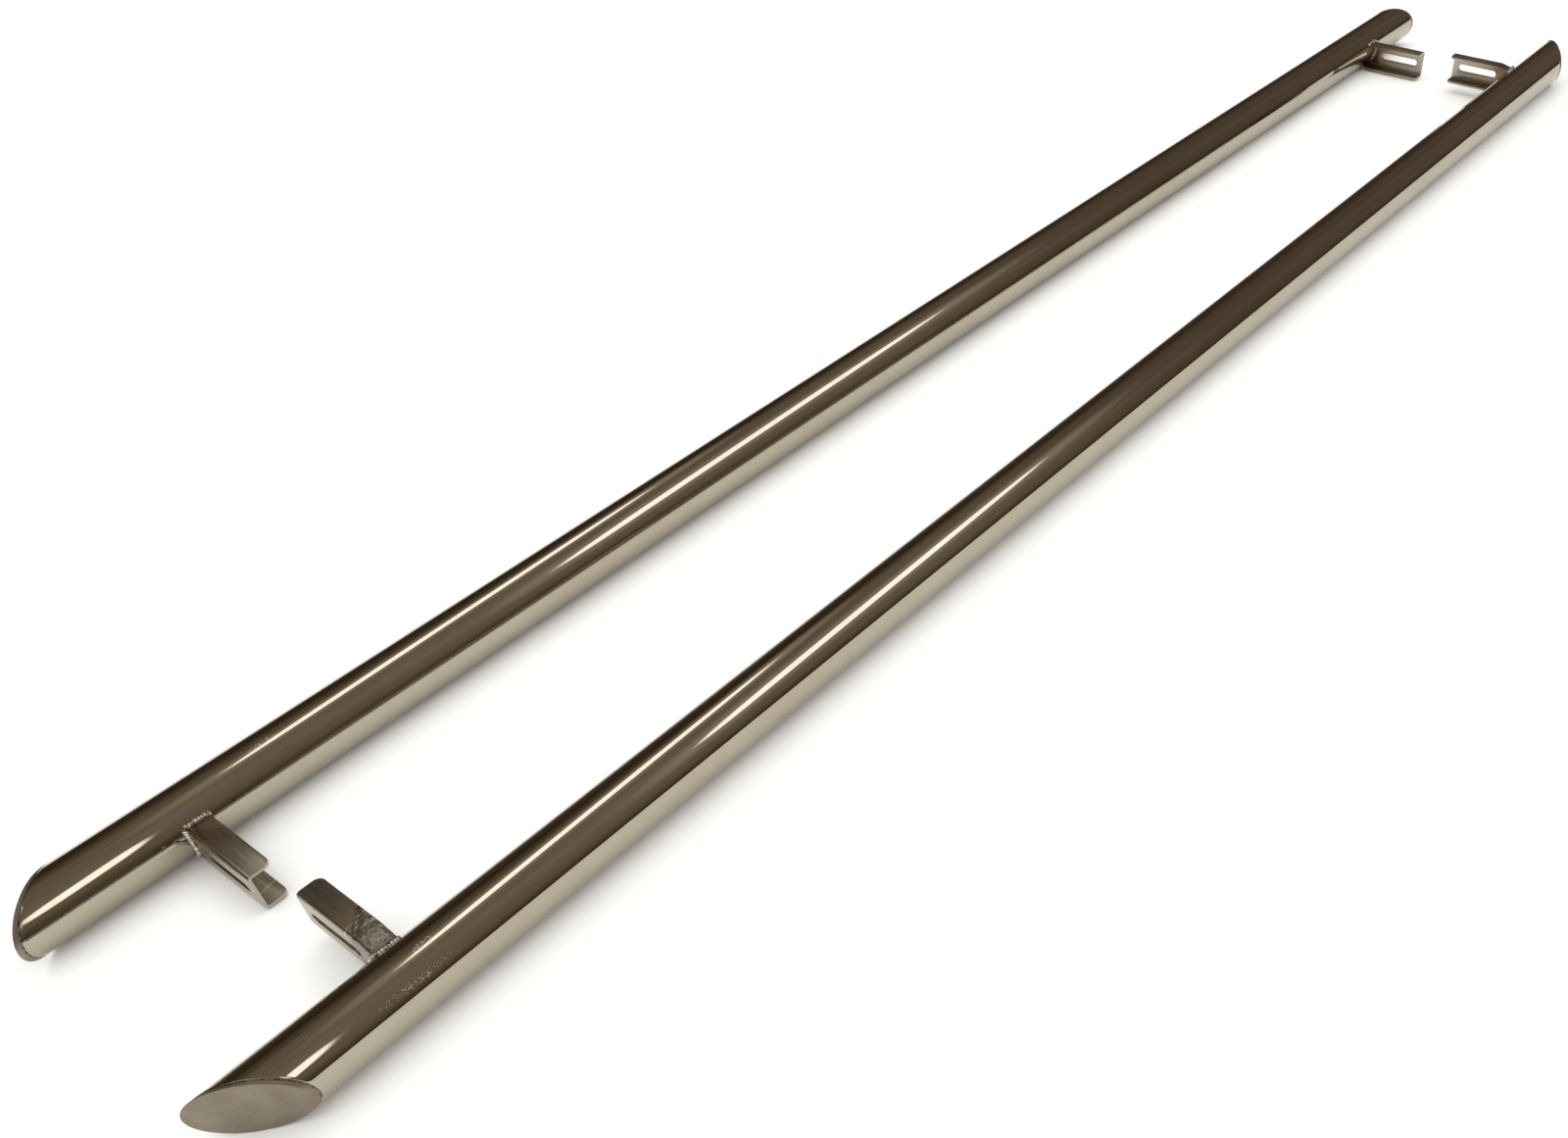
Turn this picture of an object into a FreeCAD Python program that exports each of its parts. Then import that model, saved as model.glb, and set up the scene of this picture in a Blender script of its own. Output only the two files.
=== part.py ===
import FreeCAD, Part
import math
import os

# A matched pair of straight stainless side bars for a truck.  Each bar is a
# round tube cut at an angle at both ends, closed by welded plates, with two
# folded channel brackets welded to its inner side.  Millimetres, +Z up.

os.makedirs("parts", exist_ok=True)

# Tube and its mitred ends.
TUBE_R = 30.0
TUBE_WALL = 2.0
BAR_LENGTH = 2525.0
MITRE_ANGLE = 41.5
CAP_THICK = 3.0
CAP_SEAM = 1.0

# Folded channel bracket.  Heights are measured from the tube axis.
SHEET = 3.0
BEND_INSIDE = 1.5
BRACKET_REACH = 120.0
STRAIGHT_DROP = 13.0
SLOPED_RISE = 28.0
FLANGE_WIDTH = 23.0
SLOPE_START = 38.0
SLOPE_ANGLE = 13.0
CORNER_R = 7.0
RIGHT_SETBACK = 163.0
LEFT_SETBACK = 148.0

# Long slot through each web.
SLOT_START = 45.0
SLOT_LENGTH = 65.0
SLOT_WIDTH = 10.5

# Weld beads.  The web stops short of the tube by the root gap.
ROOT_GAP = 2.5
BEAD_R = 3.0
BEAD_SINK = 0.5
BEAD_OVERRUN = 1.2

# How the two bars lie beside each other.
BAR_SPACING = 302.0
STAGGER = 4.0

TUBE_INNER_R = TUBE_R - TUBE_WALL
MITRE_RUN = 1.0 / math.tan(math.radians(MITRE_ANGLE))
MITRE_STRETCH = 1.0 / math.sin(math.radians(MITRE_ANGLE))
BEND_OUTSIDE = BEND_INSIDE + SHEET
CHANNEL_TOP = SLOPED_RISE
CHANNEL_BOTTOM = -STRAIGHT_DROP
WEB_MIDDLE = 0.5 * (CHANNEL_TOP + CHANNEL_BOTTOM)

# Bar frame: x points from the tube axis along the brackets, y along the tube
# from the tip of the near end, z up from the axis.
X_AXIS = FreeCAD.Vector(1, 0, 0)
Y_AXIS = FreeCAD.Vector(0, 1, 0)
Z_AXIS = FreeCAD.Vector(0, 0, 1)
MIDDLE = FreeCAD.Vector(0, 0.5 * BAR_LENGTH, 0)


def rod(radius, y_start, y_end):
    return Part.makeCylinder(radius, y_end - y_start, FreeCAD.Vector(0, y_start, 0), Y_AXIS)


def prism(points, offset, direction):
    wire = Part.makePolygon(points + [points[0]])
    return Part.Face(wire).extrude(direction * offset)


def mitre_slab(near_depth, far_depth):
    # Space between two planes parallel to the near mitre, at two depths.
    half = 2.0 * TUBE_R
    near = near_depth * MITRE_STRETCH
    far = far_depth * MITRE_STRETCH
    tip = TUBE_R - half
    tail = TUBE_R + half
    points = [
        FreeCAD.Vector(half, tip * MITRE_RUN + near, -half),
        FreeCAD.Vector(-half, tail * MITRE_RUN + near, -half),
        FreeCAD.Vector(-half, tail * MITRE_RUN + far, -half),
        FreeCAD.Vector(half, tip * MITRE_RUN + far, -half),
    ]
    return prism(points, 2.0 * half, Z_AXIS)


def tube_body(depth):
    # Space between the two mitres, both set in by the same depth.
    half = 2.0 * TUBE_R
    inset = depth * MITRE_STRETCH
    tip = (TUBE_R - half) * MITRE_RUN + inset
    tail = (TUBE_R + half) * MITRE_RUN + inset
    points = [
        FreeCAD.Vector(half, tip, -half),
        FreeCAD.Vector(-half, tail, -half),
        FreeCAD.Vector(-half, BAR_LENGTH - tail, -half),
        FreeCAD.Vector(half, BAR_LENGTH - tip, -half),
    ]
    return prism(points, 2.0 * half, Z_AXIS)


def make_tube():
    outer = rod(TUBE_R, -TUBE_R, BAR_LENGTH + TUBE_R)
    inner = rod(TUBE_INNER_R, -2.0 * TUBE_R, BAR_LENGTH + 2.0 * TUBE_R)
    return outer.cut(inner).common(tube_body(CAP_THICK + CAP_SEAM))


def make_cap():
    reach = 4.0 * TUBE_R
    return rod(TUBE_R, -reach, reach).common(mitre_slab(0.0, CAP_THICK))


def make_cap_seam():
    # Ring of weld ground flush between the plate and the tube wall.
    reach = 4.0 * TUBE_R
    ring = rod(TUBE_R, -reach, reach).cut(rod(TUBE_INNER_R, -2.0 * reach, 2.0 * reach))
    return ring.common(mitre_slab(CAP_THICK, CAP_THICK + CAP_SEAM))


def channel_profile(inset):
    # Side outline of the channel, set in by the sheet on both flanges.
    run = SLOPE_START
    shift = inset * math.tan(math.radians(0.5 * SLOPE_ANGLE))
    drop = (run + shift) * math.tan(math.radians(SLOPE_ANGLE))
    top = CHANNEL_TOP - inset
    bottom = CHANNEL_BOTTOM + inset
    return [
        FreeCAD.Vector(0, 0, bottom),
        FreeCAD.Vector(BRACKET_REACH, 0, bottom),
        FreeCAD.Vector(BRACKET_REACH, 0, top),
        FreeCAD.Vector(run + shift, 0, top),
        FreeCAD.Vector(0, 0, top - drop),
    ]


def along_fold(edge, y):
    # True for an edge that runs out along the bracket at the given y.
    ends = [vertex.Point for vertex in edge.Vertexes]
    level = all(abs(point.y - y) < 1e-6 for point in ends)
    return level and abs(ends[0].x - ends[-1].x) > 1.0


def folded(points, y_start, radius):
    block = prism(points, FLANGE_WIDTH - y_start, Y_AXIS)
    block.translate(Y_AXIS * y_start)
    folds = [edge for edge in block.Edges if along_fold(edge, y_start)]
    return block.makeFillet(radius, folds)


def free_corners(edge):
    ends = [vertex.Point for vertex in edge.Vertexes]
    at_tip = all(abs(point.x - BRACKET_REACH) < 1e-6 for point in ends)
    at_lip = all(abs(point.y - FLANGE_WIDTH) < 1e-6 for point in ends)
    return at_tip and at_lip


def make_slot():
    radius = 0.5 * SLOT_WIDTH
    left = SLOT_START + radius
    right = SLOT_START + SLOT_LENGTH - radius
    depth = SHEET + 2.0
    slot = Part.makeBox(right - left, depth, SLOT_WIDTH,
                        FreeCAD.Vector(left, -1.0, WEB_MIDDLE - radius))
    for centre in (left, right):
        base = FreeCAD.Vector(centre, -1.0, WEB_MIDDLE)
        slot = slot.fuse(Part.makeCylinder(radius, depth, base, Y_AXIS))
    return slot.removeSplitter()


def make_bracket():
    # Web face at y = 0, flanges toward the middle of the bar.
    outside = folded(channel_profile(0.0), 0.0, BEND_OUTSIDE)
    inside = folded(channel_profile(SHEET), SHEET, BEND_INSIDE)
    channel = outside.cut(inside)
    corners = [edge for edge in channel.Edges if free_corners(edge)]
    channel = channel.makeFillet(CORNER_R, corners)
    channel = channel.cut(rod(TUBE_R, -TUBE_R, 2.0 * TUBE_R))
    cope = rod(TUBE_R + ROOT_GAP, -TUBE_R, SHEET)
    return channel.cut(cope).cut(make_slot())


def on_tube(height):
    return math.sqrt(TUBE_R * TUBE_R - height * height)


def slope_contact():
    # Where the outer face of the sloped flange runs into the tube.
    slope = math.tan(math.radians(SLOPE_ANGLE))
    level = CHANNEL_TOP - SLOPE_START * slope
    a = 1.0 + slope * slope
    b = slope * level
    c = level * level - TUBE_R * TUBE_R
    x = (-b + math.sqrt(b * b - a * c)) / a
    return x, level + slope * x


def flange_bead(x, z, bracket, shell, web_weld):
    base = FreeCAD.Vector(x, BEND_INSIDE, z)
    length = FLANGE_WIDTH + BEAD_OVERRUN - BEND_INSIDE
    bead = Part.makeCylinder(BEAD_R, length, base, Y_AXIS)
    return outer_piece(bead.cut(shell).cut(bracket).cut(web_weld), z)


def outer_piece(shape, z):
    # Only the part of the bead that stands outside the channel is kept.
    side = 1.0 if z > WEB_MIDDLE else -1.0
    return max(shape.Solids, key=lambda solid: side * solid.CenterOfMass.z)


def web_bead(bracket, shell):
    # Bead that fills the root gap round the tube along the end of the web.
    x_top, z_top = slope_contact()
    low = math.degrees(math.atan2(CHANNEL_BOTTOM, on_tube(CHANNEL_BOTTOM)))
    high = math.degrees(math.atan2(z_top, x_top))
    circle = Part.makeCircle(BEAD_R, FreeCAD.Vector(TUBE_R, BEAD_SINK, 0), Z_AXIS)
    face = Part.Face(Part.Wire(circle))
    ring = face.revolve(FreeCAD.Vector(0, 0, 0), Y_AXIS, low - high)
    ring.rotate(FreeCAD.Vector(0, 0, 0), Y_AXIS, -low)
    gap = rod(TUBE_R + ROOT_GAP, -2.0 * BEAD_R, SHEET)
    bead = ring.common(gap).cut(shell).cut(bracket)
    return max(bead.Solids, key=lambda solid: solid.Volume)


def make_end(setback):
    # Everything at the front end of a bar, with the bracket in its place.
    bracket = make_bracket()
    shell = rod(TUBE_R, -2.0 * TUBE_R, 3.0 * TUBE_R)
    x_top, z_top = slope_contact()
    x_low = on_tube(CHANNEL_BOTTOM)
    web_weld = web_bead(bracket, shell)
    welded = {
        "bracket": bracket,
        "weld_sloped": flange_bead(x_top, z_top, bracket, shell, web_weld),
        "weld_straight": flange_bead(x_low, CHANNEL_BOTTOM, bracket, shell, web_weld),
        "weld_web": web_weld,
    }
    for shape in welded.values():
        shape.translate(Y_AXIS * setback)
    welded["cap"] = make_cap()
    welded["cap_seam"] = make_cap_seam()
    return welded


def make_bar(setback):
    bar = {"tube": make_tube()}
    for name, shape in make_end(setback).items():
        bar["front_" + name] = shape
        bar["rear_" + name] = shape.mirror(MIDDLE, Y_AXIS)
    return bar


def place_right(shape):
    # Brackets point toward -X, sloped flange on top, tube on the ground.
    placed = shape.mirror(FreeCAD.Vector(0, 0, 0), X_AXIS)
    placed.translate(FreeCAD.Vector(0.5 * BAR_SPACING, -0.5 * (BAR_LENGTH + STAGGER), TUBE_R))
    return placed


def place_left(shape):
    # The same bar rolled half a turn, sloped flanges down. It rests on its tube,
    # or on the flanges where they reach lower than the tube does.
    placed = shape.mirror(FreeCAD.Vector(0, 0, 0), Z_AXIS)
    rest = max(TUBE_R, SLOPED_RISE)
    placed.translate(FreeCAD.Vector(-0.5 * BAR_SPACING, -0.5 * (BAR_LENGTH - STAGGER), rest))
    return placed


for name, shape in make_bar(RIGHT_SETBACK).items():
    place_right(shape).exportStep("parts/right_" + name + ".step")

for name, shape in make_bar(LEFT_SETBACK).items():
    place_left(shape).exportStep("parts/left_" + name + ".step")
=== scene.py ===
import bpy
import bmesh
import math
import random
from mathutils import Matrix, Vector


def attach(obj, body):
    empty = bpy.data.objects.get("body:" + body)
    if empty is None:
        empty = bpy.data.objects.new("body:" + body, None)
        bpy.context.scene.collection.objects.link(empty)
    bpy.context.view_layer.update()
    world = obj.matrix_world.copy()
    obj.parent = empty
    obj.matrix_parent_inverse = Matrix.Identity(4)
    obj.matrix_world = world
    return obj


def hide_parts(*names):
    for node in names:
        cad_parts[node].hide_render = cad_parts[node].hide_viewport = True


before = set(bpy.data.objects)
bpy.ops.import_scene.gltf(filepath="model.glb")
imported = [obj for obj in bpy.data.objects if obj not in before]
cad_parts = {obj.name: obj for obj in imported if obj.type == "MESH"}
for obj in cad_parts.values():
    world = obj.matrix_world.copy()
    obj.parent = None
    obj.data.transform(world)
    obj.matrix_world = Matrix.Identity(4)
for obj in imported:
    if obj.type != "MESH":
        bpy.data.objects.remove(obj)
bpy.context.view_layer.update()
print("frame loaded:", len(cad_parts), "pieces")


def linearColor(hexCode):
    # sRGB hex to the linear colour that a shader wants
    parts = [int(hexCode[i:i + 2], 16) / 255 for i in (1, 3, 5)]
    lin = [c / 12.92 if c <= 0.04045 else ((c + 0.055) / 1.055) ** 2.4 for c in parts]
    return (lin[0], lin[1], lin[2], 1.0)


def addNode(tree, kind, settings=None, values=None, links=None, stops=None):
    node = tree.nodes.new(kind)
    for key, value in (settings or {}).items():
        setattr(node, key, value)
    for key, value in (values or {}).items():
        node.inputs[key].default_value = value
    for key, source in (links or {}).items():
        tree.links.new(source, node.inputs[key])
    if stops:
        elements = node.color_ramp.elements
        elements.remove(elements[-1])
        elements[0].position, elements[0].color = stops[0][0], linearColor(stops[0][1])
        for position, hexCode in stops[1:]:
            elements.new(position).color = linearColor(hexCode)
    return node


def newMaterial(name):
    material = bpy.data.materials.new(name)
    material.use_nodes = True
    tree = material.node_tree
    tree.nodes.clear()
    shader = addNode(tree, "ShaderNodeBsdfPrincipled")
    addNode(tree, "ShaderNodeOutputMaterial", links={"Surface": shader.outputs[0]})
    coords = addNode(tree, "ShaderNodeTexCoord")
    return material, tree, shader, coords.outputs["Object"]


# Drawn tube in 304 stainless, buffed to a mirror: a clear warm reflection, with
# fine buffing lines along the tube and a little haze where it has been handled.
tubeFinish = {
    "tint": "#ADA595",
    "roughness": 0.022,
    "hazeRoughness": 0.06,
    "buffLine": 0.0012,     # metres across one buffing line, coarser than real so that it shows
    "handlingPatch": 0.09,
    "scuffStroke": 0.0016,  # metres across one mark
    "scuffReach": 0.0042,
    "scuffTone": "#B9AFA2",
    "scuffRoughness": 0.45,
    "scuffMetalLoss": 0.35,
    "dullTint": "#A79E8D",
    "lineStretch": 0.012,   # a buffing line runs about 80 times its width along the tube
    "lineShare": 0.006,     # buffing lines against slow waves in the relief
    "drawWave": 3.0,        # slow waves left by drawing, per metre
    # marks from handling: the middle of each run, and how much it is stretched along the tube
    "scuffs": {
        "right": ((0.1740, -1.092, 0.0493), 12.0),
        "rightSmall": ((0.1560, -1.072, 0.0598), 3.0),
        "left": ((-0.1440, -1.020, 0.0591), 5.0),
    },
}


def polishedStainless():
    material, tree, shader, place = newMaterial("buffedStainlessTube")
    patch = addNode(tree, "ShaderNodeTexNoise",
                    values={"Scale": 1 / tubeFinish["handlingPatch"], "Detail": 4.0,
                            "Roughness": 0.6}, links={"Vector": place})
    tint = addNode(tree, "ShaderNodeValToRGB", links={"Fac": patch.outputs["Fac"]},
                   stops=[(0.3, tubeFinish["dullTint"]), (0.7, tubeFinish["tint"])])
    stretched = addNode(tree, "ShaderNodeMapping",
                        values={"Scale": (1.0, tubeFinish["lineStretch"], 1.0)},
                        links={"Vector": place})
    lines = addNode(tree, "ShaderNodeTexNoise",
                    values={"Scale": 1 / tubeFinish["buffLine"], "Detail": 3.0},
                    links={"Vector": stretched.outputs[0]})
    rough = addNode(tree, "ShaderNodeMapRange",
                    values={"From Min": 0.35, "From Max": 0.75, "To Min": tubeFinish["roughness"],
                            "To Max": tubeFinish["hazeRoughness"]},
                    links={"Value": patch.outputs["Fac"]})
    strokes = addNode(tree, "ShaderNodeTexNoise",
                      values={"Scale": 1 / tubeFinish["scuffStroke"], "Detail": 3.0,
                              "Roughness": 0.7, "Distortion": 0.6}, links={"Vector": place})
    scuff = addNode(tree, "ShaderNodeMapRange", values={"From Min": 0.54, "From Max": 0.62},
                    links={"Value": strokes.outputs["Fac"]})
    runs = None
    for middle, stretch in tubeFinish["scuffs"].values():
        away = addNode(tree, "ShaderNodeVectorMath", {"operation": "SUBTRACT"}, {1: middle},
                       {0: place})
        squashed = addNode(tree, "ShaderNodeVectorMath", {"operation": "MULTIPLY"},
                           {1: (1.0, 1 / stretch, 1.0)}, {0: away.outputs[0]})
        far = addNode(tree, "ShaderNodeVectorMath", {"operation": "LENGTH"},
                      links={0: squashed.outputs[0]})
        near = addNode(tree, "ShaderNodeMapRange",
                       values={"From Min": tubeFinish["scuffReach"],
                               "From Max": 0.3 * tubeFinish["scuffReach"]},
                       links={"Value": far.outputs["Value"]})
        runs = near if runs is None else addNode(tree, "ShaderNodeMath", {"operation": "MAXIMUM"},
                                                 links={0: runs.outputs[0], 1: near.outputs[0]})
    marks = addNode(tree, "ShaderNodeMath", {"operation": "MULTIPLY"},
                    links={0: scuff.outputs[0], 1: runs.outputs[0]})
    scuffed = addNode(tree, "ShaderNodeMix", {"data_type": "RGBA"},
                      {7: linearColor(tubeFinish["scuffTone"])},
                      {0: marks.outputs[0], 6: tint.outputs["Color"]})
    tree.links.new(scuffed.outputs[2], shader.inputs["Base Color"])
    dulled = addNode(tree, "ShaderNodeMath", {"operation": "MULTIPLY_ADD"},
                     {1: tubeFinish["scuffRoughness"]}, {0: marks.outputs[0], 2: rough.outputs[0]})
    tree.links.new(dulled.outputs[0], shader.inputs["Roughness"])
    # a scuff scatters light instead of mirroring the room
    sheen = addNode(tree, "ShaderNodeMath", {"operation": "MULTIPLY_ADD"},
                    {1: -tubeFinish["scuffMetalLoss"], 2: 1.0}, {0: marks.outputs[0]})
    tree.links.new(sheen.outputs[0], shader.inputs["Metallic"])
    waves = addNode(tree, "ShaderNodeTexNoise",
                    values={"Scale": tubeFinish["drawWave"], "Detail": 0.0},
                    links={"Vector": place})
    both = addNode(tree, "ShaderNodeMath", {"operation": "MULTIPLY_ADD"},
                   {1: tubeFinish["lineShare"]}, {0: lines.outputs["Fac"], 2: waves.outputs["Fac"]})
    bump = addNode(tree, "ShaderNodeBump", values={"Strength": 0.25, "Distance": 0.0008},
                   links={"Height": both.outputs[0]})
    tree.links.new(bump.outputs[0], shader.inputs["Normal"])
    return material


# 3 mm stainless plate, linished flat with a fine belt: even, dull and slightly warm.
plateFinish = {
    "base": "#867B6C",
    "light": "#999080",
    "roughness": 0.52,
    "grit": 0.0016,         # metres across one belt mark, coarser than real so that it shows
    "cloudsPerMetre": 60.0,
}


def groundPlate():
    material, tree, shader, place = newMaterial("linishedStainlessPlate")
    shader.inputs["Metallic"].default_value = 1.0
    shader.inputs["Roughness"].default_value = plateFinish["roughness"]
    grain = addNode(tree, "ShaderNodeTexNoise",
                    values={"Scale": 1 / plateFinish["grit"], "Detail": 5.0, "Roughness": 0.7},
                    links={"Vector": place})
    cloud = addNode(tree, "ShaderNodeTexNoise",
                    values={"Scale": plateFinish["cloudsPerMetre"], "Detail": 3.0},
                    links={"Vector": place})
    blend = addNode(tree, "ShaderNodeMath", {"operation": "MULTIPLY"},
                    links={0: grain.outputs["Fac"], 1: cloud.outputs["Fac"]})
    tone = addNode(tree, "ShaderNodeValToRGB", links={"Fac": blend.outputs[0]},
                   stops=[(0.12, plateFinish["base"]), (0.42, plateFinish["light"])])
    tree.links.new(tone.outputs["Color"], shader.inputs["Base Color"])
    bump = addNode(tree, "ShaderNodeBump", values={"Strength": 0.35, "Distance": 0.0003},
                   links={"Height": grain.outputs["Fac"]})
    tree.links.new(bump.outputs[0], shader.inputs["Normal"])
    return material


# Weld ground flush round the plate: the same steel, duller and darker in its pits.
seamFinish = {"pit": "#3A322A", "ground": "#8B8173", "pitsPerMetre": 420.0}


def groundSeam():
    material, tree, shader, place = newMaterial("groundFlushWeld")
    shader.inputs["Metallic"].default_value = 1.0
    pits = addNode(tree, "ShaderNodeTexNoise",
                   values={"Scale": seamFinish["pitsPerMetre"], "Detail": 4.0},
                   links={"Vector": place})
    tone = addNode(tree, "ShaderNodeValToRGB", links={"Fac": pits.outputs["Fac"]},
                   stops=[(0.35, seamFinish["pit"]), (0.6, seamFinish["ground"])])
    tree.links.new(tone.outputs["Color"], shader.inputs["Base Color"])
    rough = addNode(tree, "ShaderNodeMapRange", values={"To Min": 0.28, "To Max": 0.6},
                    links={"Value": pits.outputs["Fac"]})
    tree.links.new(rough.outputs[0], shader.inputs["Roughness"])
    return material


# 3 mm cold rolled stainless sheet, folded: a soft satin reflection with rolling
# lines, and straw to bronze heat tint that fades away from the weld.
sheetFinish = {
    "steel": "#ABA498",
    "straw": "#A08F76",
    "bronze": "#7C6854",
    "roughness": 0.30,
    "rollLine": 0.0011,
    "tintReach": 0.075,
    "tintFromAxis": 0.03,
    "drawnTone": "#8B857B",
    "markTone": "#EFE3CC",
    "markSlope": 0.22,
    "markFromY": 1.092,     # how far forward a line has the X given below
    "markHalfWidth": 0.0005,
    "frontBeyond": -0.9,    # Y past which a bracket is a front one
    "crumple": 0.006,       # metres across one dimple where the heat drew the flange in
    "crumpleReach": 0.030,
    "crumpleFrom": 0.032,   # with the reach, where it starts and where it is full
    "crumpleFull": 0.026,
    "paleStraw": "#A59A88",
    "blotchesPerMetre": 34.0,
    # pale scribed lines on the front flanges, by X
    "markLines": {"right": 0.0935, "left": -0.0510},
}


def rolledSheet():
    material, tree, shader, place = newMaterial("coldRolledStainlessSheet")
    shader.inputs["Metallic"].default_value = 1.0
    split = addNode(tree, "ShaderNodeSeparateXYZ", links={"Vector": place})
    size = addNode(tree, "ShaderNodeMath", {"operation": "ABSOLUTE"}, links={0: split.outputs["X"]})
    blotch = addNode(tree, "ShaderNodeTexNoise",
                     values={"Scale": sheetFinish["blotchesPerMetre"], "Detail": 3.0,
                             "Roughness": 0.55}, links={"Vector": place})
    wander = addNode(tree, "ShaderNodeMath", {"operation": "MULTIPLY_ADD"}, {1: 0.07, 2: -0.035},
                     {0: blotch.outputs["Fac"]})
    reach = addNode(tree, "ShaderNodeMath", {"operation": "ADD"},
                    links={0: size.outputs[0], 1: wander.outputs[0]})
    tintEdge = barPlace["axisX"] - sheetFinish["tintFromAxis"]
    heat = addNode(tree, "ShaderNodeMapRange",
                   values={"From Min": tintEdge - sheetFinish["tintReach"], "From Max": tintEdge},
                   links={"Value": reach.outputs[0]})
    tone = addNode(tree, "ShaderNodeValToRGB", links={"Fac": heat.outputs[0]},
                   stops=[(0.0, sheetFinish["steel"]), (0.45, sheetFinish["paleStraw"]),
                          (0.75, sheetFinish["straw"]), (0.97, sheetFinish["bronze"])])
    drawnFrom = barPlace["axisX"] - sheetFinish["crumpleFrom"] - sheetFinish["crumpleReach"]
    drawnFull = barPlace["axisX"] - sheetFinish["crumpleFull"] - sheetFinish["crumpleReach"]
    drawn = addNode(tree, "ShaderNodeMapRange", {"interpolation_type": "SMOOTHSTEP"},
                    {"From Min": drawnFrom, "From Max": drawnFull},
                    {"Value": reach.outputs[0]})
    frontEnd = addNode(tree, "ShaderNodeMath", {"operation": "LESS_THAN"},
                       {1: sheetFinish["frontBeyond"]}, {0: split.outputs["Y"]})
    rightBar = addNode(tree, "ShaderNodeMath", {"operation": "GREATER_THAN"}, {1: 0.0},
                       {0: split.outputs["X"]})
    drawnFront = addNode(tree, "ShaderNodeMath", {"operation": "MULTIPLY"},
                         links={0: drawn.outputs[0], 1: frontEnd.outputs[0]})
    drawnPart = addNode(tree, "ShaderNodeMath", {"operation": "MULTIPLY"},
                        links={0: drawnFront.outputs[0], 1: rightBar.outputs[0]})
    silver = addNode(tree, "ShaderNodeMix", {"data_type": "RGBA"},
                     {7: linearColor(sheetFinish["drawnTone"])},
                     {0: drawnPart.outputs[0], 6: tone.outputs["Color"]})
    bottomOrTop = {"right": "GREATER_THAN", "left": "LESS_THAN"}
    slanted = addNode(tree, "ShaderNodeMath", {"operation": "MULTIPLY_ADD"},
                      {1: sheetFinish["markSlope"]}, {0: split.outputs["Y"], 2: split.outputs["X"]})
    scribed = silver.outputs[2]
    for sideName, lineX in sheetFinish["markLines"].items():
        lineMask = addNode(tree, "ShaderNodeMath", {"operation": "COMPARE"},
                           {1: lineX - sheetFinish["markSlope"] * sheetFinish["markFromY"],
                            2: sheetFinish["markHalfWidth"]}, {0: slanted.outputs[0]})
        level = addNode(tree, "ShaderNodeMath", {"operation": bottomOrTop[sideName]},
                        {1: barPlace["axisZ"]}, {0: split.outputs["Z"]})
        lineLevel = addNode(tree, "ShaderNodeMath", {"operation": "MULTIPLY"},
                            links={0: lineMask.outputs[0], 1: level.outputs[0]})
        lineNear = addNode(tree, "ShaderNodeMath", {"operation": "MULTIPLY"},
                           links={0: lineLevel.outputs[0], 1: frontEnd.outputs[0]})
        lined = addNode(tree, "ShaderNodeMix", {"data_type": "RGBA"},
                        {7: linearColor(sheetFinish["markTone"])},
                        {0: lineNear.outputs[0], 6: scribed})
        scribed = lined.outputs[2]
    tree.links.new(scribed, shader.inputs["Base Color"])
    dimples = addNode(tree, "ShaderNodeTexNoise",
                      values={"Scale": 1 / sheetFinish["crumple"], "Detail": 2.0},
                      links={"Vector": place})
    crumpled = addNode(tree, "ShaderNodeMath", {"operation": "MULTIPLY"},
                       links={0: dimples.outputs["Fac"], 1: drawnPart.outputs[0]})
    stretched = addNode(tree, "ShaderNodeMapping", values={"Scale": (0.03, 1.0, 1.0)},
                        links={"Vector": place})
    lines = addNode(tree, "ShaderNodeTexNoise",
                    values={"Scale": 1 / sheetFinish["rollLine"], "Detail": 4.0},
                    links={"Vector": stretched.outputs[0]})
    rough = addNode(tree, "ShaderNodeMapRange",
                    values={"From Min": 0.3, "From Max": 0.7,
                            "To Min": sheetFinish["roughness"] - 0.05,
                            "To Max": sheetFinish["roughness"] + 0.12},
                    links={"Value": lines.outputs["Fac"]})
    tree.links.new(rough.outputs[0], shader.inputs["Roughness"])
    bump = addNode(tree, "ShaderNodeBump", values={"Strength": 0.3, "Distance": 0.0002},
                   links={"Height": lines.outputs["Fac"]})
    dents = addNode(tree, "ShaderNodeBump", values={"Strength": 0.7, "Distance": 0.0016},
                    links={"Height": crumpled.outputs[0], "Normal": bump.outputs[0]})
    tree.links.new(dents.outputs[0], shader.inputs["Normal"])
    return material


# TIG weld, not dressed: silver crests, oxide left in the hollows, and a near-white painted
# highlight on the highest points.
weldFinish = {"oxide": "#3A2E24", "silver": "#B9B2A8", "crest": "#F1EEE9", "oxidePerMetre": 260.0}


def weldSilver():
    material, tree, shader, place = newMaterial("asWeldedStainlessBead")
    shader.inputs["Metallic"].default_value = 1.0
    scale = addNode(tree, "ShaderNodeTexNoise",
                    values={"Scale": weldFinish["oxidePerMetre"], "Detail": 4.0},
                    links={"Vector": place})
    # the top stop, crest, is a painted highlight: near white where the relief is highest
    tone = addNode(tree, "ShaderNodeValToRGB", links={"Fac": scale.outputs["Fac"]},
                   stops=[(0.34, weldFinish["oxide"]), (0.44, weldFinish["silver"]),
                          (0.6, weldFinish["crest"])])
    tree.links.new(tone.outputs["Color"], shader.inputs["Base Color"])
    rough = addNode(tree, "ShaderNodeMapRange",
                    values={"From Min": 0.3, "From Max": 0.7, "To Min": 0.4, "To Max": 0.16},
                    links={"Value": scale.outputs["Fac"]})
    tree.links.new(rough.outputs[0], shader.inputs["Roughness"])
    bump = addNode(tree, "ShaderNodeBump", values={"Strength": 0.5, "Distance": 0.0004},
                   links={"Height": scale.outputs["Fac"]})
    tree.links.new(bump.outputs[0], shader.inputs["Normal"])
    return material


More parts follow.
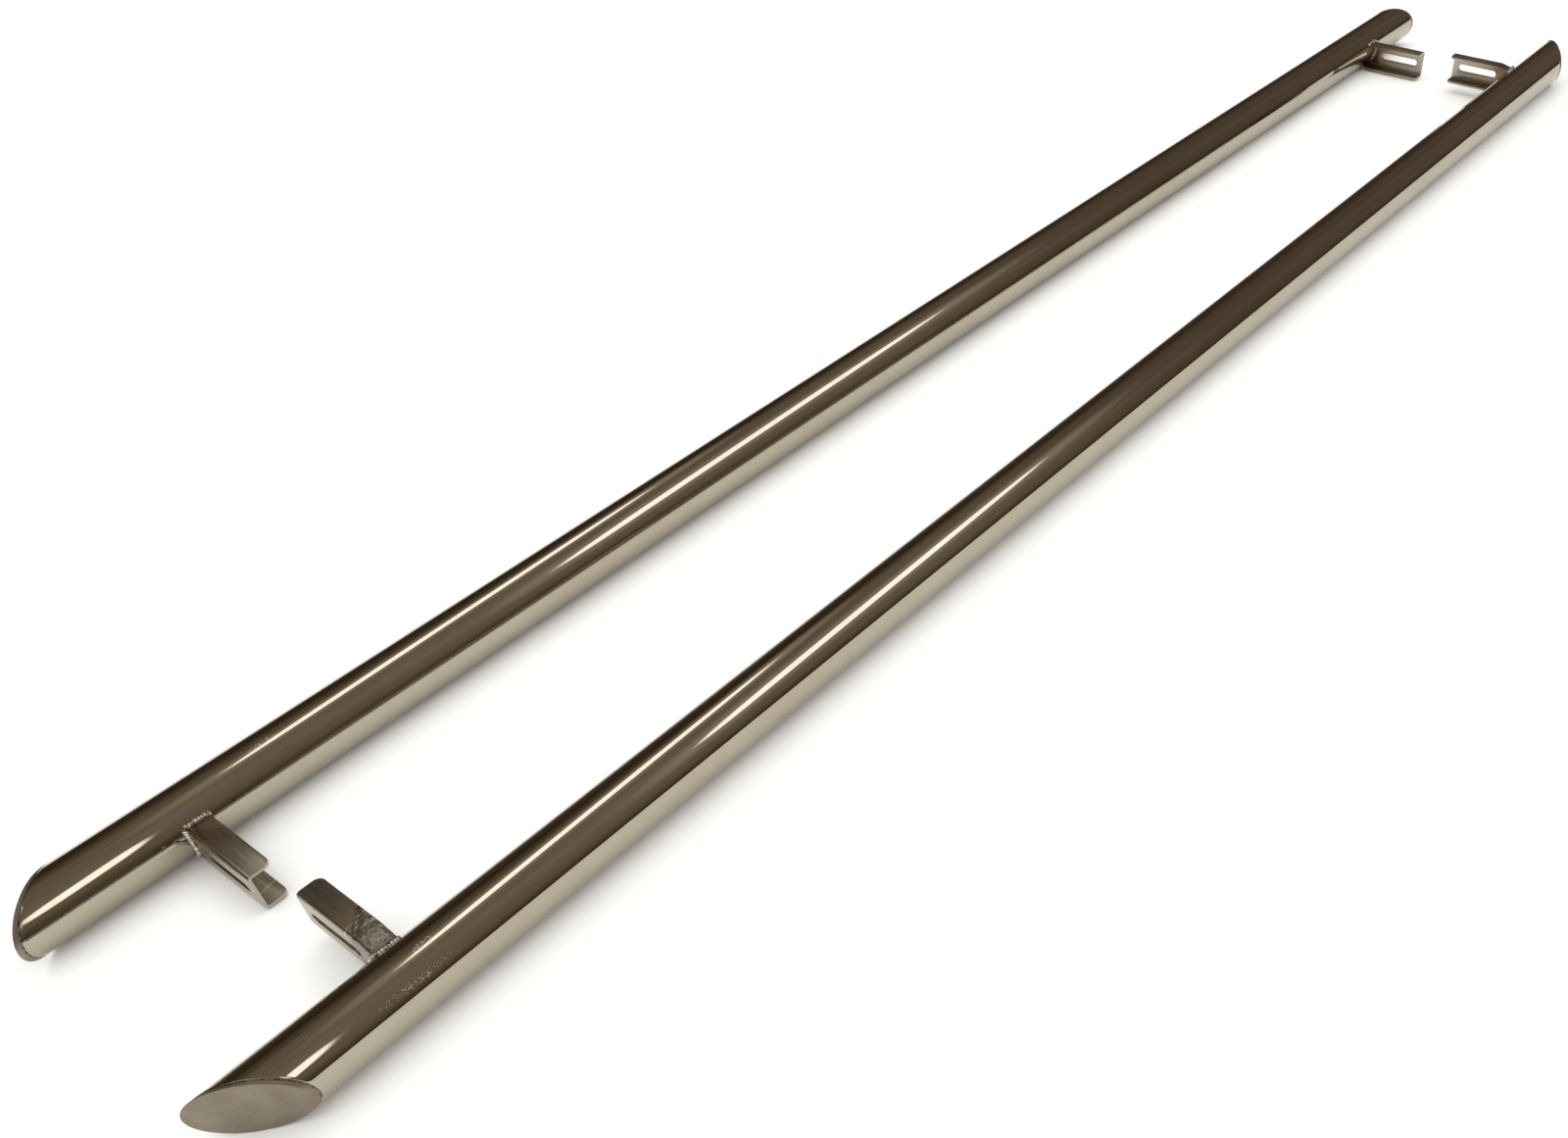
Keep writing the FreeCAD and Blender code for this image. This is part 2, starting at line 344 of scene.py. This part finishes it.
# Where the two bars lie, in metres, as in the frame.
barPlace = {
    "axisX": 0.151,
    "axisZ": 0.030,
    "tubeRadius": 0.030,
    "halfLength": 1.2625,
    "stagger": 0.002,       # right bar this far back, left bar this far forward
    "mitreAngle": 41.5,
}
sideSign = {"right": 1, "left": -1}
endSign = {"front": -1, "rear": 1}


def mitrePlane(side, end, depth):
    # Point and outward normal of the cut, set in along its normal by depth.
    across, along = sideSign[side], endSign[end]
    angle = math.radians(barPlace["mitreAngle"])
    normal = Vector((across * math.cos(angle), along * math.sin(angle), 0.0))
    tip = Vector((across * (barPlace["axisX"] - barPlace["tubeRadius"]),
                  along * barPlace["halfLength"] - across * barPlace["stagger"], barPlace["axisZ"]))
    return tip - normal * depth, normal


def finishPiece(bm, name, body, material, replaced, sharpAngle=40):
    bmesh.ops.recalc_face_normals(bm, faces=bm.faces)
    for face in bm.faces:
        face.smooth = True
    for edge in bm.edges:
        turned = edge.is_manifold and edge.calc_face_angle(0.0) > math.radians(sharpAngle)
        edge.smooth = not turned
    mesh = bpy.data.meshes.new(name)
    bm.to_mesh(mesh)
    bm.free()
    mesh.materials.append(material)
    piece = bpy.data.objects.new(name, mesh)
    bpy.context.scene.collection.objects.link(piece)
    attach(piece, body)
    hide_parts(*replaced)
    return piece


def longRound(side, radius, segments):
    bm = bmesh.new()
    place = Matrix.Translation((sideSign[side] * barPlace["axisX"], 0,
                                barPlace["axisZ"])) @ Matrix.Rotation(
        math.radians(90), 4, "X")
    bmesh.ops.create_cone(bm, cap_ends=True, segments=segments, radius1=radius, radius2=radius,
                          depth=2 * barPlace["halfLength"] + 0.4, matrix=place)
    return bm


def cutAway(bm, planePoint, planeNormal):
    # Removes what lies beyond the plane and closes the cut.
    geometry = bm.verts[:] + bm.edges[:] + bm.faces[:]
    cut = bmesh.ops.bisect_plane(bm, geom=geometry, plane_co=planePoint, plane_no=planeNormal,
                                 clear_outer=True)
    rim = [e for e in cut["geom_cut"] if isinstance(e, bmesh.types.BMEdge)]
    bmesh.ops.edgeloop_fill(bm, edges=rim)


def flatRimEdges(bm):
    return [e for e in bm.edges if e.is_manifold and e.calc_face_angle(0.0) > math.radians(30)]


tubePiece = {"segments": 160, "edgeRound": 0.0004, "depth": 0.004, "holdingCut": 0.0016}


def makeTube(side, material):
    bm = longRound(side, barPlace["tubeRadius"], tubePiece["segments"])
    for end in endSign:
        point, normal = mitrePlane(side, end, tubePiece["depth"])
        cutAway(bm, point, normal)
    for end in endSign:
        # a loop close to each rim keeps the rounded edge from bending the long reflections
        point, normal = mitrePlane(side, end, tubePiece["depth"] + tubePiece["holdingCut"])
        bmesh.ops.bisect_plane(bm, geom=bm.verts[:] + bm.edges[:] + bm.faces[:], plane_co=point,
                               plane_no=normal)
    bmesh.ops.bevel(bm, geom=flatRimEdges(bm), affect="EDGES", offset=tubePiece["edgeRound"],
                    segments=2,
                    profile=0.5, material=-1)
    return finishPiece(bm, side + "TubeSkin", side + "_bar", material,
                       [side + "_tube"], 60)


capPiece = {"thickness": 0.003, "edgeRound": 0.0007, "seam": 0.001, "seamSink": 0.0003}


def makeCap(side, end, material):
    bm = longRound(side, barPlace["tubeRadius"], tubePiece["segments"])
    point, normal = mitrePlane(side, end, 0.0)
    cutAway(bm, point, normal)
    point, normal = mitrePlane(side, end, capPiece["thickness"])
    cutAway(bm, point, -normal)
    bmesh.ops.bevel(bm, geom=flatRimEdges(bm), affect="EDGES", offset=capPiece["edgeRound"],
                    segments=3,
                    profile=0.5, material=-1)
    name = side + end.capitalize() + "EndPlate"
    return finishPiece(bm, name, side + "_bar", material,
                       [side + "_" + end + "_cap"], 60)


def makeSeam(side, end, material):
    bm = longRound(side, barPlace["tubeRadius"] - capPiece["seamSink"], tubePiece["segments"])
    point, normal = mitrePlane(side, end, capPiece["thickness"])
    cutAway(bm, point, normal)
    point, normal = mitrePlane(side, end, capPiece["thickness"] + capPiece["seam"])
    cutAway(bm, point, -normal)
    name = side + end.capitalize() + "PlateSeam"
    return finishPiece(bm, name, side + "_bar", material,
                       [side + "_" + end + "_cap_seam"], 60)


bracketPiece = {"edgeRound": 0.00045}


def makeBracket(side, end, material):
    # The folded channel keeps its CAD shape; its sheared edges are eased.
    node = side + "_" + end + "_bracket"
    bm = bmesh.new()
    bm.from_mesh(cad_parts[node].data)
    bmesh.ops.remove_doubles(bm, verts=bm.verts, dist=0.00001)
    bmesh.ops.dissolve_limit(bm, angle_limit=math.radians(0.5), verts=bm.verts, edges=bm.edges)
    sharp = [e for e in bm.edges if e.is_manifold and e.calc_face_angle(0.0) > math.radians(50)]
    bmesh.ops.bevel(bm, geom=sharp, affect="EDGES", offset=bracketPiece["edgeRound"], segments=2,
                    profile=0.5,
                    material=-1, clamp_overlap=True)
    name = side + end.capitalize() + "FoldedBracket"
    return finishPiece(bm, name, side + "_bar", material, [node], 35)


weldPiece = {
    "webSetback": {"right": 0.163, "left": 0.148},
    "flangeWidth": 0.023,
    "slopedRise": 0.028,
    "straightDrop": 0.013,
    "slopeStart": 0.038,
    "slopeAngle": 13.0,
    "ripple": 0.0026,       # metres between two crests, which are twice as wide, so they overlap
    "crest": 0.0028,        # radius of one
}


def barPoint(side, end, out, along, up):
    # out from the tube axis toward the brackets, along from the web face toward
    # the middle, up toward the sloped flange.
    x = sideSign[side] * (barPlace["axisX"] - out)
    tip = endSign[end] * barPlace["halfLength"] - sideSign[side] * barPlace["stagger"]
    y = tip - endSign[end] * (weldPiece["webSetback"][side] + along)
    z = barPlace["axisZ"] + (up if side == "right" else -up)
    return Vector((x, y, z))


def slopeContact():
    slope = math.tan(math.radians(weldPiece["slopeAngle"]))
    level = weldPiece["slopedRise"] - weldPiece["slopeStart"] * slope
    radius = barPlace["tubeRadius"]
    a, b, c = 1 + slope * slope, slope * level, level * level - radius * radius
    out = (-b + math.sqrt(b * b - a * c)) / a
    return out, level + slope * out


def weldPaths():
    out, up = slopeContact()
    drop = weldPiece["straightDrop"]
    low = math.atan2(-drop, math.sqrt(barPlace["tubeRadius"] ** 2 - drop ** 2))
    high = math.atan2(up, out)
    ring = barPlace["tubeRadius"] + 0.0009
    web = [(ring * math.cos(low + (high - low) * i / 40), -0.0003,
            ring * math.sin(low + (high - low) * i / 40))
           for i in range(41)]
    wide = weldPiece["flangeWidth"]
    sloped = [(out + 0.0003, 0.001 + wide * i / 20, up + 0.0004) for i in range(21)]
    flat = math.sqrt(barPlace["tubeRadius"] ** 2 - drop ** 2)
    straight = [(flat + 0.0003, 0.001 + wide * i / 20, -drop - 0.0004) for i in range(21)]
    return {"web": web, "sloped": sloped, "straight": straight}


def makeWeld(side, end, kind, path, material):
    # A row of overlapping crests, each laid down a little unevenly.
    rng = random.Random(side + end + kind)
    bm = bmesh.new()
    length = sum((Vector(b) - Vector(a)).length for a, b in zip(path, path[1:]))
    count = max(4, int(length / weldPiece["ripple"]))
    for i in range(count):
        share = (i + 0.5) / count * (len(path) - 1)
        k = min(int(share), len(path) - 2)
        a, b = Vector(path[k]), Vector(path[k + 1])
        out, along, up = a.lerp(b, share - k)
        centre = barPoint(side, end, out, along, up)
        size = weldPiece["crest"] * rng.uniform(0.86, 1.1)
        jitter = Vector([rng.uniform(-0.00025, 0.00025) for axis in range(3)])
        turn = Matrix.Rotation(rng.uniform(0, 3), 4, "Y") @ Matrix.Rotation(rng.uniform(-0.4, 0.4),
                                                                            4, "X")
        shape = Matrix.Translation(centre + jitter) @ turn @ Matrix.Diagonal((size, size * 0.92,
                                                                              size, 1))
        bmesh.ops.create_icosphere(bm, subdivisions=2, radius=1.0, matrix=shape)
    name = side + end.capitalize() + kind.capitalize() + "Weld"
    node = side + "_" + end + "_weld_" + kind
    return finishPiece(bm, name, side + "_bar", material, [node], 80)


tubeMaterial = polishedStainless()
plateMaterial = groundPlate()
seamMaterial = groundSeam()
sheetMaterial = rolledSheet()
weldMaterial = weldSilver()
print("materials ready")

for side in sideSign:
    makeTube(side, tubeMaterial)
    for end in endSign:
        makeCap(side, end, plateMaterial)
        makeSeam(side, end, seamMaterial)
        makeBracket(side, end, sheetMaterial)
        for kind, path in weldPaths().items():
            makeWeld(side, end, kind, path, weldMaterial)
print("bars built")


floorPiece = {
    "size": 60.0,
    "tone": "#FCFBF8",
    "darkTone": "#FBFAF6",
    "roughness": 0.9,
    "gloss": 0.1,
}


def makeFloor():
    bm = bmesh.new()
    bmesh.ops.create_grid(bm, x_segments=1, y_segments=1, size=floorPiece["size"] / 2)
    mesh = bpy.data.meshes.new("studioFloor")
    bm.to_mesh(mesh)
    bm.free()
    material, tree, shader, place = newMaterial("matteFloorPaint")
    shader.inputs["Roughness"].default_value = floorPiece["roughness"]
    shader.inputs["Specular IOR Level"].default_value = floorPiece["gloss"]
    cloud = addNode(tree, "ShaderNodeTexNoise", values={"Scale": 2.0, "Detail": 3.0},
                    links={"Vector": place})
    tone = addNode(tree, "ShaderNodeValToRGB", links={"Fac": cloud.outputs["Fac"]},
                   stops=[(0.3, floorPiece["darkTone"]), (0.7, floorPiece["tone"])])
    tree.links.new(tone.outputs["Color"], shader.inputs["Base Color"])
    mesh.materials.append(material)
    floor = bpy.data.objects.new("studioFloor", mesh)
    bpy.context.scene.collection.objects.link(floor)


# What the polish mirrors: a plain warm grey backdrop, three soft strip lamps and a
# darker flat at each end. Angles turn about the bars, 0 up and 90 level to the right;
# depth is how far a direction leans along the bars, 0 straight across them and 1 along.
roomTone = {
    "air": "#FFFFFF",
    "wall": [(-90, "#504438"), (-60, "#403428"), (-30, "#807464"), (30, "#988C80"), (70, "#807464"),
             (90, "#403428")],
    "endFlat": "#504038",
    "endShare": 0.6,
    "endFrom": 0.6,
    "endTo": 0.8,
    "uneven": 0.3,          # how far the backdrop cloth varies about its tone
    "folds": (0.28, 5.0, 1.0),
}

# name: (angle, depth, half angle, half depth, slope, softness, colour, strength)
roomPanels = {
    "lampNear": (45, 0.08, 9, 0.04, -60, 0.5, "#FFFFFF", 2.5),
    "lampLowGlow": (-20, 0.33, 15, 0.20, -80, 0.95, "#C0B4A4", 0.9),
    "lampLow": (-20, 0.33, 7, 0.15, -80, 0.3, "#FFFFFF", 2.5),
    "lampHighGlow": (22, 0.54, 20, 0.17, -80, 0.95, "#C0B8B0", 0.9),
    "lampHigh": (22, 0.54, 9, 0.13, -80, 0.3, "#FFFFFF", 2.5),
}


def addPanel(tree, turn, depth, below, facts):
    angle, place, halfAngle, halfPlace, slope, softness, hexCode, strength = facts
    fromPlace = addNode(tree, "ShaderNodeMath", {"operation": "SUBTRACT"}, {1: place}, {0: depth})
    lean = addNode(tree, "ShaderNodeMath", {"operation": "MULTIPLY_ADD"}, {1: slope, 2: angle},
                   {0: fromPlace.outputs[0]})
    fromAngle = addNode(tree, "ShaderNodeMath", {"operation": "SUBTRACT"},
                        links={0: turn, 1: lean.outputs[0]})
    across = addNode(tree, "ShaderNodeMath", {"operation": "DIVIDE"}, {1: halfAngle},
                     {0: fromAngle.outputs[0]})
    along = addNode(tree, "ShaderNodeMath", {"operation": "DIVIDE"}, {1: halfPlace},
                    {0: fromPlace.outputs[0]})
    acrossPower = addNode(tree, "ShaderNodeMath", {"operation": "POWER"}, {1: 2.0},
                          {0: across.outputs[0]})
    alongPower = addNode(tree, "ShaderNodeMath", {"operation": "POWER"}, {1: 4.0},
                         {0: along.outputs[0]})
    total = addNode(tree, "ShaderNodeMath", {"operation": "ADD"},
                    links={0: acrossPower.outputs[0], 1: alongPower.outputs[0]})
    mask = addNode(tree, "ShaderNodeMapRange", {"interpolation_type": "SMOOTHSTEP"},
                   {"From Min": 1.0 + softness, "From Max": 1.0 - softness},
                   {"Value": total.outputs[0]})
    colour = linearColor(hexCode)
    lit = [channel * strength for channel in colour[:3]] + [1.0]
    mixed = addNode(tree, "ShaderNodeMix", {"data_type": "RGBA", "clamp_result": False}, {7: lit},
                    {0: mask.outputs[0], 6: below})
    return mixed.outputs[2]


def makeRoom():
    world = bpy.data.worlds.new("studioRoom")
    bpy.context.scene.world = world
    world.use_nodes = True
    tree = world.node_tree
    tree.nodes.clear()
    coords = addNode(tree, "ShaderNodeTexCoord")
    split = addNode(tree, "ShaderNodeSeparateXYZ", links={"Vector": coords.outputs["Generated"]})
    radians = addNode(tree, "ShaderNodeMath", {"operation": "ARCTAN2"},
                      links={0: split.outputs["X"], 1: split.outputs["Z"]})
    turn = addNode(tree, "ShaderNodeMath", {"operation": "MULTIPLY"}, {1: 180 / math.pi},
                   {0: radians.outputs[0]})
    share = addNode(tree, "ShaderNodeMapRange", values={"From Min": -180, "From Max": 180},
                    links={"Value": turn.outputs[0]})
    stops = [((angle + 180) / 360, hexCode) for angle, hexCode in roomTone["wall"]]
    wall = addNode(tree, "ShaderNodeValToRGB", links={"Fac": share.outputs[0]}, stops=stops)
    depth = addNode(tree, "ShaderNodeMath", {"operation": "ABSOLUTE"},
                    links={0: split.outputs["Y"]})
    toEnd = addNode(tree, "ShaderNodeMapRange", {"interpolation_type": "SMOOTHSTEP"},
                    {"From Min": roomTone["endFrom"], "From Max": roomTone["endTo"],
                     "To Max": roomTone["endShare"]}, {"Value": depth.outputs[0]})
    backdrop = addNode(tree, "ShaderNodeMix", {"data_type": "RGBA"},
                       {7: linearColor(roomTone["endFlat"])},
                       {0: toEnd.outputs[0], 6: wall.outputs["Color"]})
    # soft folds in the backdrop cloth, seen as faint lines along the tubes
    foldPlace = addNode(tree, "ShaderNodeCombineXYZ",
                        links={"X": turn.outputs[0], "Y": depth.outputs[0]})
    foldScale = addNode(tree, "ShaderNodeMapping", values={"Scale": roomTone["folds"]},
                        links={"Vector": foldPlace.outputs[0]})
    folds = addNode(tree, "ShaderNodeTexNoise",
                    values={"Scale": 1.0, "Detail": 3.0, "Roughness": 0.65},
                    links={"Vector": foldScale.outputs[0]})
    byAngle = addNode(tree, "ShaderNodeMapRange", {"interpolation_type": "SMOOTHSTEP"},
                      {"From Min": 40.0, "From Max": -40.0, "To Min": 0.25, "To Max": 1.0},
                      {"Value": turn.outputs[0]})
    byDepth = addNode(tree, "ShaderNodeMapRange", values={"From Min": 0.5, "From Max": 0.85},
                      links={"Value": depth.outputs[0]})
    amount = addNode(tree, "ShaderNodeMath", {"operation": "MAXIMUM"},
                     links={0: byAngle.outputs[0], 1: byDepth.outputs[0]})
    wave = addNode(tree, "ShaderNodeMapRange",
                   values={"From Min": 0.36, "From Max": 0.64, "To Min": -1.0, "To Max": 1.0},
                   links={"Value": folds.outputs["Fac"]})
    gain = addNode(tree, "ShaderNodeMath", {"operation": "MULTIPLY"},
                   links={0: wave.outputs[0], 1: amount.outputs[0]})
    power = addNode(tree, "ShaderNodeMath", {"operation": "MULTIPLY_ADD"},
                    {1: roomTone["uneven"], 2: 1.0}, {0: gain.outputs[0]})
    uneven = addNode(tree, "ShaderNodeVectorMath", {"operation": "SCALE"},
                     links={0: backdrop.outputs[2], "Scale": power.outputs[0]})
    result = uneven.outputs[0]
    for facts in roomPanels.values():
        result = addPanel(tree, turn.outputs[0], depth.outputs[0], result, facts)
    mirrored = addNode(tree, "ShaderNodeBackground", links={"Color": result})
    air = addNode(tree, "ShaderNodeBackground",
                  values={"Color": linearColor(roomTone["air"]), "Strength": 1.0})
    ray = addNode(tree, "ShaderNodeLightPath")
    mixed = addNode(tree, "ShaderNodeMixShader",
                    links={0: ray.outputs["Is Glossy Ray"], 1: air.outputs[0],
                           2: mirrored.outputs[0]})
    addNode(tree, "ShaderNodeOutputWorld", links={"Surface": mixed.outputs[0]})


studioLights = {
    "overhead": {"centre": (-0.4, -0.3, 3.4), "turn": 0.0, "size": (4.5, 4.5), "watts": 50.0,
                 "shine": False},
}


def makeLights():
    for name, facts in studioLights.items():
        light = bpy.data.lights.new(name, "AREA")
        light.shape = "RECTANGLE"
        light.size, light.size_y = facts["size"]
        light.energy = facts["watts"]
        lamp = bpy.data.objects.new(name, light)
        bpy.context.scene.collection.objects.link(lamp)
        lamp.location = facts["centre"]
        lamp.rotation_euler = (0, 0, math.radians(facts["turn"]))
        lamp.visible_glossy = facts["shine"]
        lamp.visible_camera = False


cameraPlace = {
    "location": (0.91575, -1.30202, 0.90777),
    "turn": (44.2965, 1.1784, 36.4322),
    "lens": 31.737,
    "shift": (-0.15037, 0.11845),
}


def makeCamera():
    lens = bpy.data.cameras.new("viewCamera")
    lens.lens = cameraPlace["lens"]
    lens.sensor_width = 36.0
    lens.shift_x, lens.shift_y = cameraPlace["shift"]
    camera = bpy.data.objects.new("viewCamera", lens)
    bpy.context.scene.collection.objects.link(camera)
    camera.location = cameraPlace["location"]
    camera.rotation_euler = [math.radians(t) for t in cameraPlace["turn"]]
    bpy.context.scene.camera = camera
    bpy.context.scene.view_settings.view_transform = "Standard"


makeFloor()
makeRoom()
makeLights()
makeCamera()
print("studio ready")
